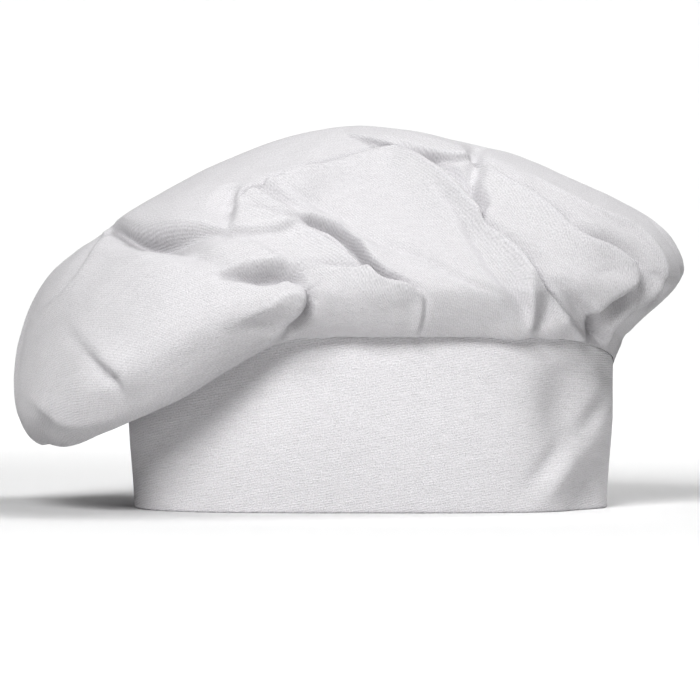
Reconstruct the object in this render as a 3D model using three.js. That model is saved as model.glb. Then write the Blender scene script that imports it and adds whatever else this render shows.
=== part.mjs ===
// A soft chef hat in white cotton twill: an upright band for the head, and a full crown
// pleated into it, which flops over the band on one side.
// Millimetres, +Z up, +X to the right of the wearer's front view, -Y the front.
// The band stands on Z = 0, and the origin is the middle of the whole hat's footprint there.
import * as THREE from "three";

// Driving dimensions
const BAND = {
  halfWidth: 105.5, // outside, at mid height
  halfDepth: 72,
  squareness: 3.1, // exponent of the superellipse seen from above: flat front, tight ends
  height: 74.5,
  wall: 2, // folded double cloth
  footInset: 2.4, // the foot is drawn in this much
  footShare: 0.55, // share of the height over which it is drawn in
  dentMargin: 12, // dents die out this far below the top edge
  rimRound: 0.5, // the foot and the top edge are rounded off this far into the wall
  columns: 72,
  rows: [0, 0.2, 0.4, 0.6, 0.8, 1], // shares of the height
};
const CROWN = {
  wall: 1.5,
  seamGap: 0.3, // above the band's top edge
  seamOut: 0.5, // the cloth stands this much proud of the band at the seam
  seamLead: { out: 1, up: 4 }, // slope at which the cloth leaves the seam
  columns: 84,
  frontShare: 0.5, // spacing of the columns at the front, as a share of even spacing
  rowsPerStretch: [2, 4, 4, 5, 4, 3], // rows of faces between neighbouring stations
  heldRows: 4, // rows over which the folds grow from nothing at the seam
};
const FRONT = 270; // heading of the front
const SEAM_DIP = { heading: 2, depth: 12, halfSpan: 46 }; // the band's top edge sags here
const POLE = { x: -10.8, y: 8, z: 167 }; // middle of the crown's cloth, from the band's axis
const EYE = { distance: 1500, height: 76 }; // the fold charts are drawn as this eye sees the hat
const AXIS_X = 8.8; // the band's axis on the fold charts

const COTTON = { color: 0xf0f0f2, roughness: 0.92, metalness: 0 };

// Crown sections, one row for each heading in degrees, counter-clockwise from +X.
// Each station is its distance from the axis and its height.
const SECTIONS = [
  { heading: 0, hem: [114, 75], rim: [137, 102], cheek: [131, 118], brow: [104, 137], crest: [60, 156] },
  { heading: 22, hem: [111, 75], rim: [133, 101], cheek: [129, 117], brow: [102, 137], crest: [58, 157] },
  { heading: 45, hem: [101, 72], rim: [119, 92], cheek: [116, 110], brow: [92, 135], crest: [50, 158] },
  { heading: 68, hem: [88, 68], rim: [104, 84], cheek: [102, 104], brow: [82, 132], crest: [44, 157] },
  { heading: 90, hem: [86, 66], rim: [101, 82], cheek: [99, 102], brow: [79, 131], crest: [42, 156] },
  { heading: 112, hem: [94, 61], rim: [109, 77], cheek: [106, 99], brow: [84, 128], crest: [46, 153] },
  { heading: 135, hem: [111, 48], rim: [127, 66], cheek: [122, 93], brow: [98, 122], crest: [54, 150] },
  { heading: 158, hem: [132, 34], rim: [146, 53], cheek: [137, 91], brow: [115, 118], crest: [64, 148] },
  { heading: 180, hem: [136, 26], rim: [149, 46], cheek: [140, 91], brow: [119, 117], crest: [67, 148] },
  { heading: 202, hem: [137, 27], rim: [148, 46], cheek: [136, 88], brow: [114, 115], crest: [64, 146] },
  { heading: 225, hem: [118, 50], rim: [127, 62], cheek: [116, 90], brow: [93, 118], crest: [52, 146] },
  { heading: 243, hem: [92, 69], rim: [100, 80], cheek: [92, 98], brow: [74, 121], crest: [42, 148] },
  { heading: 256, hem: [76, 76], rim: [80, 86], cheek: [75, 99], brow: [60, 122], crest: [34, 150] },
  { heading: 270, hem: [73, 76], rim: [78, 86], cheek: [73, 99], brow: [57, 123], crest: [31, 151] },
  { heading: 290, hem: [77, 76], rim: [82, 87], cheek: [77, 101], brow: [61, 125], crest: [34, 152] },
  { heading: 315, hem: [96, 75], rim: [105, 92], cheek: [99, 108], brow: [80, 131], crest: [45, 154] },
  { heading: 338, hem: [110, 74], rim: [126, 98], cheek: [120, 115], brow: [98, 135], crest: [56, 155] },
];
// drift: how far a station's centre has moved from the band's axis to the pole.
const STATIONS = [
  { name: "hem", drift: 0 },
  { name: "rim", drift: 0.1 },
  { name: "cheek", drift: 0.3 },
  { name: "brow", drift: 0.5 },
  { name: "crest", drift: 0.85 },
];

// Folds of the crown's front, one row each. The path runs from start through bend to end on the
// chart, each as x across and z up, as the eye sees them. rise is the height of the ridge, less
// than 0 for a valley, and it falls to nothing over the left and right widths beside the path.
const FOLDS = [
  { name: "lobe_end", start: [-24, 76], bend: [-18.5, 90], end: [-30, 107], rise: 9, left: 45, right: 8 },
  { name: "lobe_bend", start: [-62, 101], bend: [-44, 103], end: [-26, 108], rise: -8, left: 12, right: 10 },
  { name: "lobe_top", start: [-106, 126], bend: [-80, 117], end: [-56, 106], rise: -9, left: 14, right: 20 },
  { name: "lobe_dent", start: [-124, 82], bend: [-115, 65], end: [-100, 48], rise: -7, left: 14, right: 16 },
  { name: "first_pleat", start: [30, 75], bend: [31, 88], end: [20, 100], rise: 6, left: 45, right: 8 },
  { name: "long_fold", start: [26, 96], bend: [-12, 122], end: [-52, 135], rise: -11, left: 13, right: 24 },
  { name: "panel_top", start: [-54, 134], bend: [-18, 150], end: [20, 159], rise: 7, left: 10, right: 40 },
  { name: "panel_edge", start: [102, 73], bend: [70, 116], end: [20, 159], rise: 10, left: 45, right: 9 },
  { name: "second_pleat", start: [80, 76], bend: [80, 96], end: [66, 120], rise: 5, left: 24, right: 9 },
  { name: "cheek_ridge", start: [104, 74], bend: [128, 98], end: [92, 132], rise: 6, left: 22, right: 10 },
  { name: "cheek_valley", start: [114, 80], bend: [136, 103], end: [96, 137], rise: -6, left: 10, right: 10 },
];

const PATH_STEPS = 14;
const FADE = { start: 0.15, end: 0.3 }; // shares of a fold's path over which it comes and goes

// Pleats round the sides and back: each is a ridge from the seam part of the way up.
const BACK_PLEATS = { from: 12, to: 236, count: 9, rise: 6.5, left: 26, right: 13, topShare: 0.62 };

// Dents in the band, by heading and height.
const DENTS = [
  { heading: 322, z: 52, depth: 3, spread: 14, tall: 16 },
  { heading: 338, z: 22, depth: 3.5, spread: 10, tall: 18 },
  { heading: 344, z: 46, depth: 2, spread: 7, tall: 12 },
];

const radians = (degrees) => (degrees * Math.PI) / 180;
const between = (a, b, share) => a + (b - a) * share;
const clamp01 = (v) => Math.min(1, Math.max(0, v));
const smooth = (v) => clamp01(v) ** 2 * (3 - 2 * clamp01(v));

// The smallest turn from one heading to another, in degrees.
const turn = (from, to) => ((((to - from) % 360) + 540) % 360) - 180;

// Distance from the axis to the band's outside at a heading in degrees.
function bandRadius(heading) {
  const { halfWidth, halfDepth, squareness: n } = BAND;
  const c = Math.abs(Math.cos(radians(heading)) / halfWidth) ** n;
  const s = Math.abs(Math.sin(radians(heading)) / halfDepth) ** n;
  return (c + s) ** (-1 / n);
}

// Height of the band's top edge at a heading.
function bandTop(heading) {
  const away = Math.abs(turn(SEAM_DIP.heading, heading)) / SEAM_DIP.halfSpan;
  return BAND.height - SEAM_DIP.depth * (1 - smooth(away));
}

// A smooth closed curve through one value of a station in the section table, by heading.
function ringOf(station, which) {
  const n = SECTIONS.length;
  const at = (i) => SECTIONS[((i % n) + n) % n];
  const span = (i) => ((at(i + 1).heading - at(i).heading) + 360) % 360;
  const value = (i) => at(i)[station][which];
  const slope = (i) => (value(i + 1) - value(i - 1)) / (span(i - 1) + span(i));
  return (heading) => {
    const h = ((heading % 360) + 360) % 360;
    let i = n - 1;
    while (i > 0 && SECTIONS[i].heading > h) i--;
    const width = span(i);
    const t = (h - SECTIONS[i].heading) / width;
    const u = 1 - t;
    const fromHere = value(i) * (1 + 2 * t) * u * u + slope(i) * width * t * u * u;
    const fromNext = value(i + 1) * t * t * (3 - 2 * t) - slope(i + 1) * width * t * t * u;
    return fromHere + fromNext;
  };
}

const rings = Object.fromEntries(
  STATIONS.map(({ name }) => [name, { radius: ringOf(name, 0), height: ringOf(name, 1) }]),
);

// The crown's plain section at a heading: a curve from the seam, round the rim, to the pole.
function sectionAt(heading) {
  const direction = new THREE.Vector3(Math.cos(radians(heading)), Math.sin(radians(heading)), 0);
  const place = (radius, z, drift) =>
    direction.clone().multiplyScalar(radius).add(new THREE.Vector3(POLE.x * drift, POLE.y * drift, z));
  const seam = place(bandRadius(heading) + CROWN.seamOut, bandTop(heading) + CROWN.seamGap, 0);
  const stations = STATIONS.map(({ name, drift }) =>
    place(rings[name].radius(heading), rings[name].height(heading), drift),
  );
  const pole = new THREE.Vector3(POLE.x, POLE.y, POLE.z);
  const last = STATIONS.at(-1);
  const across = heading + 180;
  const beyond = place(-rings[last.name].radius(across), rings[last.name].height(across), last.drift);
  const { out, up } = CROWN.seamLead;
  const before = seam.clone().addScaledVector(direction, -out).setZ(seam.z - up);
  return [before, seam, ...stations, pole, beyond];
}

// A point on the stretch between places[k] and places[k + 1], by a centripetal spline.
function onStretch(places, k, share) {
  const [a, b, c, d] = places.slice(k - 1, k + 3);
  const [t1, t2, t3] = [a.distanceTo(b) ** 0.5, b.distanceTo(c) ** 0.5, c.distanceTo(d) ** 0.5];
  const [k1, k2, k3] = [t1, t1 + t2, t1 + t2 + t3];
  const t = between(k1, k2, share);
  const mix = (p, q, from, to) => p.clone().lerp(q, (t - from) / (to - from));
  const [ab, bc, cd] = [mix(a, b, 0, k1), mix(b, c, k1, k2), mix(c, d, k2, k3)];
  return mix(mix(ab, bc, 0, k2), mix(bc, cd, k1, k3), k1, k2);
}

// Heading of a column of the crown: the columns crowd toward the front, where the folds are.
function columnHeading(c) {
  const t = (2 * c) / CROWN.columns - 1;
  return FRONT + 180 * (CROWN.frontShare * t + (1 - CROWN.frontShare) * t ** 3);
}

// Columns of points from the seam to just before the pole; the pole itself is one point.
function plainCrown() {
  const columns = [];
  for (let c = 0; c < CROWN.columns; c++) {
    const places = sectionAt(columnHeading(c));
    const column = [];
    CROWN.rowsPerStretch.forEach((rows, k) => {
      for (let r = 0; r < rows; r++) column.push(onStretch(places, k + 1, r / rows));
    });
    columns.push(column);
  }
  return { columns, pole: new THREE.Vector3(POLE.x, POLE.y, POLE.z) };
}

// Normals of the crown's grid, pointing out, from neighbouring points.
function gridNormals({ columns, pole }) {
  const n = columns.length;
  const last = columns[0].length - 1;
  return columns.map((column, c) =>
    column.map((point, r) => {
      const around = columns[(c + 1) % n][r].clone().sub(columns[(c + n - 1) % n][r]);
      const above = r < last ? column[r + 1] : pole;
      const below = r > 0 ? column[r - 1] : point;
      return around.cross(above.clone().sub(below)).normalize();
    }),
  );
}

// The front of the plain crown where a line of sight through the chart point (x, z) first meets it.
function onFront({ columns }, x, z) {
  const eye = new THREE.Vector3(-AXIS_X, -EYE.distance, EYE.height);
  const sight = new THREE.Ray(eye, new THREE.Vector3(x - AXIS_X, 0, z).sub(eye).normalize());
  const n = columns.length;
  let best = null;
  const hit = new THREE.Vector3();
  for (let c = 0; c < n; c++)
    for (let r = 0; r + 1 < columns[0].length; r++) {
      const [p, q] = [columns[c], columns[(c + 1) % n]];
      for (const [i, j, k] of [[p[r], q[r], q[r + 1]], [p[r], q[r + 1], p[r + 1]]])
        if (sight.intersectTriangle(i, j, k, false, hit) && (!best || hit.y < best.y)) best = hit.clone();
    }
  return best;
}

// A fold's path on the plain crown, as a row of points through its three charted places.
function chartedPath(crown, fold) {
  const charted = [fold.start, fold.bend, fold.end].map(([x, z]) => new THREE.Vector3(x, 0, z));
  const line = new THREE.CatmullRomCurve3(charted);
  const points = line.getSpacedPoints(PATH_STEPS).map((p) => onFront(crown, p.x, p.z));
  return points.filter((p) => p);
}

// How much a fold lifts the cloth at a point whose outward normal is given.
function lift(fold, point, normal) {
  const { path, rise, left, right } = fold;
  let nearest = Infinity;
  let height = 0;
  for (let i = 0; i + 1 < path.length; i++) {
    const along = path[i + 1].clone().sub(path[i]);
    const share = clamp01(point.clone().sub(path[i]).dot(along) / along.lengthSq());
    const away = point.clone().sub(path[i].clone().addScaledVector(along, share));
    const distance = away.length();
    if (distance >= nearest) continue;
    nearest = distance;
    const isRight = along.clone().cross(normal).dot(away) > 0;
    const travelled = (i + share) / (path.length - 1);
    const fade = smooth(travelled / FADE.start) * smooth((1 - travelled) / FADE.end);
    height = rise * fade * (1 - clamp01(distance / (isRight ? right : left)));
  }
  return height;
}

// Pleats of the sides and back, each up a section of the plain crown.
function backPleats({ columns }) {
  const { from, to, count, rise, left, right, topShare } = BACK_PLEATS;
  return Array.from({ length: count }, (_, k) => {
    const heading = between(from, to, k / (count - 1));
    const off = (column) => Math.abs(turn(columnHeading(column), heading));
    const nearest = columns.reduce((best, _, c) => (off(c) < off(best) ? c : best), 0);
    const path = columns[nearest].slice(1, Math.round(columns[nearest].length * topShare));
    return { path, rise, left, right };
  });
}

// A grid of heights, each evened out halfway to the mean of its four neighbours.
function softened(heights) {
  const n = heights.length;
  return heights.map((column, c) =>
    column.map((height, r) => {
      const beside = heights[(c + 1) % n][r] + heights[(c + n - 1) % n][r];
      const along = (column[r + 1] ?? height) + (column[r - 1] ?? height);
      return (height + (beside + along) / 4) / 2;
    }),
  );
}

// The crown's outside with its folds.
function foldedCrown() {
  const crown = plainCrown();
  const normals = gridNormals(crown);
  const folds = [
    ...FOLDS.map((fold) => ({ ...fold, path: chartedPath(crown, fold) })),
    ...backPleats(crown),
  ];
  const heights = crown.columns.map((column, c) =>
    column.map((point, r) => folds.reduce((sum, fold) => sum + lift(fold, point, normals[c][r]), 0)),
  );
  const even = softened(softened(heights));
  const columns = crown.columns.map((column, c) =>
    column.map((point, r) => {
      const held = smooth(r / CROWN.heldRows); // the seam itself stays on the band
      return point.clone().addScaledVector(normals[c][r], even[c][r] * held);
    }),
  );
  return { columns, pole: crown.pole };
}

// A closed shell from an outer and an inner grid of columns, each ending in its own pole.
function shellGeometry(outer, inner) {
  const n = outer.columns.length;
  const rows = outer.columns[0].length;
  const points = [...outer.columns.flat(), ...inner.columns.flat(), outer.pole, inner.pole];
  const index = [];
  const half = n * rows;
  const square = (a, b, c, d) => index.push(a, b, c, a, c, d);
  for (let c = 0; c < n; c++) {
    const [p, q] = [c * rows, ((c + 1) % n) * rows];
    for (let r = 0; r + 1 < rows; r++) {
      square(p + r, q + r, q + r + 1, p + r + 1);
      square(half + p + r, half + p + r + 1, half + q + r + 1, half + q + r);
    }
    index.push(p + rows - 1, q + rows - 1, 2 * half);
    index.push(half + q + rows - 1, half + p + rows - 1, 2 * half + 1);
    square(p, half + p, half + q, q); // the seam edge
  }
  return closedGeometry(points, index);
}

// A mesh geometry from a list of points and the corners of its triangles.
function closedGeometry(points, index) {
  const coordinates = points.flatMap((v) => v.toArray());
  const geometry = new THREE.BufferGeometry();
  geometry.setAttribute("position", new THREE.Float32BufferAttribute(coordinates, 3));
  geometry.setIndex(index);
  geometry.computeVertexNormals();
  return geometry;
}

function clothMesh(name, geometry) {
  const mesh = new THREE.Mesh(geometry, new THREE.MeshStandardMaterial(COTTON));
  mesh.name = name;
  return mesh;
}

function crownMesh() {
  const outer = foldedCrown();
  const normals = gridNormals(outer);
  const inner = {
    columns: outer.columns.map((column, c) =>
      column.map((point, r) => {
        const inside = point.clone().addScaledVector(normals[c][r], -CROWN.wall);
        if (r === 0) inside.z = Math.max(inside.z, point.z); // the seam edge stays off the band
        return inside;
      }),
    ),
    pole: outer.pole.clone().setZ(POLE.z - CROWN.wall),
  };
  return clothMesh("crown", shellGeometry(outer, inner));
}

// How far a dent pushes the band in at a heading and height.
function dentAt(heading, z) {
  return DENTS.reduce((sum, dent) => {
    const across = turn(dent.heading, heading) / dent.spread;
    const up = (z - dent.z) / dent.tall;
    return sum + dent.depth * Math.exp(-across * across - up * up);
  }, 0);
}

// How far the band's wall stands inside its widest outline at a heading and height.
function bandInset(heading, z) {
  const drawnIn = BAND.footInset * (1 - smooth(z / (BAND.height * BAND.footShare)));
  return drawnIn + dentAt(heading, z) * smooth((bandTop(heading) - z) / BAND.dentMargin);
}

// The band's section at a heading, as a closed row of points: up the outside, down the inside.
function bandLoop(heading) {
  const { wall, rimRound, rows } = BAND;
  const top = bandTop(heading);
  const levels = rows.map((share) => between(rimRound, top - rimRound, share));
  const place = (z, depth) => {
    const radius = bandRadius(heading) - bandInset(heading, z) - depth;
    return new THREE.Vector3(radius * Math.cos(radians(heading)), radius * Math.sin(radians(heading)), z);
  };
  const outside = levels.map((z) => place(z, 0));
  const inside = levels.map((z) => place(z, wall)).reverse();
  const topEdge = [place(top, rimRound), place(top, wall - rimRound)];
  return [place(0, rimRound), ...outside, ...topEdge, ...inside, place(0, wall - rimRound)];
}

function bandMesh() {
  const { columns } = BAND;
  const loops = Array.from({ length: columns }, (_, c) => bandLoop((360 * c) / columns));
  const rows = loops[0].length;
  const index = [];
  for (let c = 0; c < columns; c++) {
    const [p, q] = [c * rows, ((c + 1) % columns) * rows];
    for (let r = 0; r < rows; r++) {
      const next = (r + 1) % rows;
      index.push(p + r, q + r, q + next, p + r, q + next, p + next);
    }
  }
  return clothMesh("band", closedGeometry(loops.flat(), index));
}

const hat = new THREE.Group();
hat.add(bandMesh(), crownMesh());

// Set the middle of the footprint over the origin.
const extent = new THREE.Box3().setFromObject(hat, true);
hat.position.set(-(extent.min.x + extent.max.x) / 2, -(extent.min.y + extent.max.y) / 2, 0);

export default hat;
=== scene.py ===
"""The looks of a soft chef hat in white cotton twill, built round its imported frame.

Lengths in the tables are millimetres, measured from the band's axis and from the surface that the
band stands on. Meshes are made in metres, in the frame's own axes. A fold's path is charted as the
photograph shows it: millimetres across and up on an upright sheet through the band's axis, seen from
the place where the camera stands.
"""

import logging
import math
from dataclasses import dataclass, field
from enum import Enum
from typing import Callable

import bpy
import numpy as np
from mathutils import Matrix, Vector, noise
from mathutils.bvhtree import BVHTree


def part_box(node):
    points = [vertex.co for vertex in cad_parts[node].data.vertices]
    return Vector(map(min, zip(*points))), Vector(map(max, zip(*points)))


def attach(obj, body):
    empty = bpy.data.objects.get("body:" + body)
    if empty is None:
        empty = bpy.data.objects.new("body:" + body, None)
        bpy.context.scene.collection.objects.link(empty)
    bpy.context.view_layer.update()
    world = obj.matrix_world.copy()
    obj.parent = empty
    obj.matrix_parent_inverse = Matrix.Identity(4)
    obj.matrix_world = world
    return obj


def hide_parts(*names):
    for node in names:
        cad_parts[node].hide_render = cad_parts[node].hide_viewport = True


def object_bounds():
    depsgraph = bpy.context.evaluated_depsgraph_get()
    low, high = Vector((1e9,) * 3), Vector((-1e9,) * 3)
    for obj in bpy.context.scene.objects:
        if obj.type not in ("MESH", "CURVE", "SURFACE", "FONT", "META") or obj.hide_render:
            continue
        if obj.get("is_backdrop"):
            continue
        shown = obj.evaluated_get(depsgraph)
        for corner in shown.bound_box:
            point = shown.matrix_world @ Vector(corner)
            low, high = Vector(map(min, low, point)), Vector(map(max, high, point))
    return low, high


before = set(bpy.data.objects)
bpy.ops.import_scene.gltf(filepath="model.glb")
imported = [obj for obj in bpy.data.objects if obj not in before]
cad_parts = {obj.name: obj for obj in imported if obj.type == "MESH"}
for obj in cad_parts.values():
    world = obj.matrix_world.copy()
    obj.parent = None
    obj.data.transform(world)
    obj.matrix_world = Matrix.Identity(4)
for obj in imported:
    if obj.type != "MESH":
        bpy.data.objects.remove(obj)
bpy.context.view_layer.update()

log = logging.getLogger("chef_hat")

MM = 0.001  # metres in a millimetre

# The picture, in pixels, and how the charts lie on it.
IMAGE_WIDTH = 700
CHART_CENTRE_PX = 350.5
FOOT_PX = 505.0
CHART_SCALE = 0.439  # millimetres a pixel

# The eye and the band's axis on the charts, in millimetres.
EYE_DISTANCE = 1500.0
EYE_HEIGHT = 76.0
AXIS_ON_CHART = 8.8

SENSOR_WIDTH = 36.0  # millimetres
MERGE_DISTANCE = 1e-5  # metres, for the two ends of the band's strip
CLOTH_MAP = "cloth"  # the UV map of the flat cloth, which the weave reads
TINY = 1e-12  # keeps a division by a length of 0 finite


def smooth(value: np.ndarray) -> np.ndarray:
    """Eases 0 to 1 with flat ends."""
    t = np.clip(value, 0.0, 1.0)
    return t * t * (3.0 - 2.0 * t)


def unit(vectors: np.ndarray) -> np.ndarray:
    """Scales each vector to length one."""
    return vectors / np.maximum(np.linalg.norm(vectors, axis=-1, keepdims=True), TINY)


def turn(start: float, end: np.ndarray) -> np.ndarray:
    """The smallest turn from one heading to others, in degrees."""
    return (np.asarray(end) - start + 540.0) % 360.0 - 180.0


class Station(Enum):
    """Where a crown section is measured, from the seam up; the value is its centre's drift."""

    HEM = 0.0
    RIM = 0.1
    CHEEK = 0.3
    BROW = 0.5
    CREST = 0.85


class FoldKind(Enum):
    """How a fold is shaped across its path."""

    KNIFE = "high on the left, then a step down on the right"
    RIDGE = "a rounded tent"
    VALLEY = "a rounded furrow"


@dataclass(frozen=True)
class Section:
    """Distances from the axis and heights of the crown's stations at one heading."""

    heading: float
    hem: tuple[float, float]
    rim: tuple[float, float]
    cheek: tuple[float, float]
    brow: tuple[float, float]
    crest: tuple[float, float]


@dataclass(frozen=True)
class Fold:
    """One fold, with its path charted as the eye sees it.

    Each step of the path is millimetres across, millimetres up and the share of the fold's size.
    """

    name: str
    kind: FoldKind
    path: tuple[tuple[float, float, float], ...]
    rise: float
    left: float
    right: float
    trough: float = 0.0
    trough_width: float = 6.0
    lean: float = 0.0


@dataclass(frozen=True)
class Dent:
    """A soft hollow in the band; a depth below 0 is a swelling."""

    heading: float
    height: float
    depth: float
    spread: float
    tall: float
    slant: float = 0.0


SECTIONS: tuple[Section, ...] = (
    Section(0, hem=(113, 75), rim=(139, 101), cheek=(135, 118), brow=(108, 137), crest=(66, 155.5)),
    Section(22, hem=(111, 75), rim=(135, 100), cheek=(132, 117), brow=(105, 137), crest=(62, 156.5)),
    Section(45, hem=(101, 72), rim=(119, 92), cheek=(116, 110), brow=(92, 135), crest=(50, 158)),
    Section(68, hem=(88, 68), rim=(104, 84), cheek=(102, 104), brow=(82, 132), crest=(44, 157)),
    Section(90, hem=(86, 66), rim=(101, 82), cheek=(99, 102), brow=(79, 131), crest=(42, 156)),
    Section(112, hem=(94, 61), rim=(109, 77), cheek=(106, 99), brow=(84, 128), crest=(46, 153)),
    Section(135, hem=(111, 48), rim=(127, 66), cheek=(122, 93), brow=(98, 122), crest=(54, 150)),
    Section(158, hem=(138, 34), rim=(149, 52), cheek=(139, 91), brow=(114, 118), crest=(60, 148.5)),
    Section(180, hem=(145, 29), rim=(153, 46), cheek=(143, 91), brow=(117, 117), crest=(61, 148.5)),
    Section(202, hem=(140, 27), rim=(152, 43), cheek=(139, 89), brow=(115, 115.5), crest=(61, 147)),
    Section(225, hem=(123, 44), rim=(139, 61), cheek=(124, 93), brow=(96, 120), crest=(53, 146)),
    Section(243, hem=(94, 70), rim=(110, 85), cheek=(101, 101), brow=(77, 123), crest=(43, 148)),
    Section(256, hem=(81, 74), rim=(94, 91), cheek=(86, 104), brow=(62, 124), crest=(34, 150)),
    Section(270, hem=(78.5, 74), rim=(90, 92), cheek=(80, 105), brow=(58, 124), crest=(31, 151)),
    Section(290, hem=(81, 74), rim=(92.5, 92), cheek=(83, 106), brow=(62, 126), crest=(34, 152)),
    Section(303, hem=(88, 74), rim=(98, 92), cheek=(91, 107), brow=(70, 128), crest=(39, 153)),
    Section(315, hem=(98.5, 73), rim=(108, 92), cheek=(101, 108), brow=(81, 131), crest=(46, 154)),
    Section(338, hem=(111, 74), rim=(128, 98), cheek=(123, 115), brow=(101, 135), crest=(58, 155.5)),
)

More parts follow.
